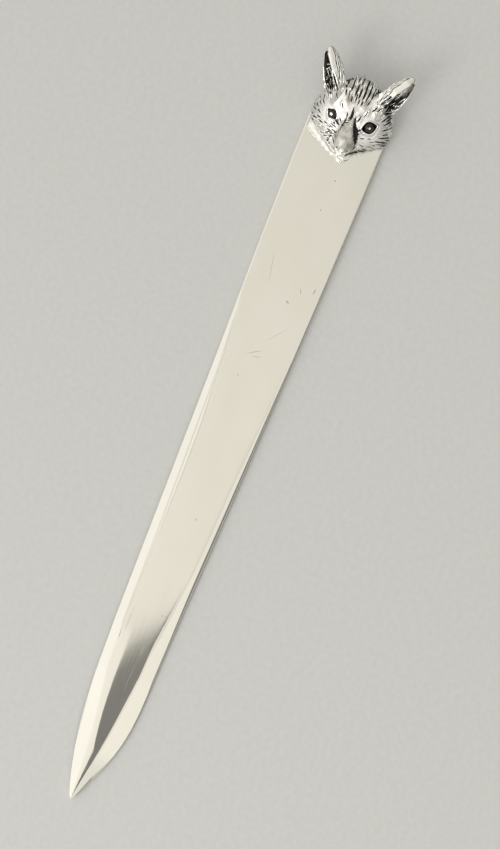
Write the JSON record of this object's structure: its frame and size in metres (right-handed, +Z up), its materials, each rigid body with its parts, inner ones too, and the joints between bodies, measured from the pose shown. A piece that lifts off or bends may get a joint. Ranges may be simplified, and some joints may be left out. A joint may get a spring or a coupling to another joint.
{
  "type": "letter opener",
  "caption": "Flat tapered silver blade with bevelled edges and a leaf-shaped point, its butt end capped by a cast fox head that serves as the grip, for slitting envelopes.",
  "frame": {"origin": "on the back face of the blade, on its middle line, halfway between the point and the ear tips", "axes": "+X along the blade from the point to the fox head, +Y to the left seen from above with the point toward the viewer, +Z up out of the face that the fox head is on"},
  "size_m": [0.1603, 0.0199, 0.0115],
  "materials": {
    "blade_silver": "hand-polished silver sheet, warm, with fine use scratches",
    "cast_silver": "polished cast silver, blackened in the recesses of the fur",
    "eye_black": "glossy black dome",
    "solder_silver": "hard solder, filed and polished bright"
  },
  "bodies": {
    "root": {"blade": "blade_silver", "fox_head": "cast_silver", "left_eye": "eye_black", "right_eye": "eye_black", "solder_fillet": "solder_silver"}
  },
  "joints": []
}
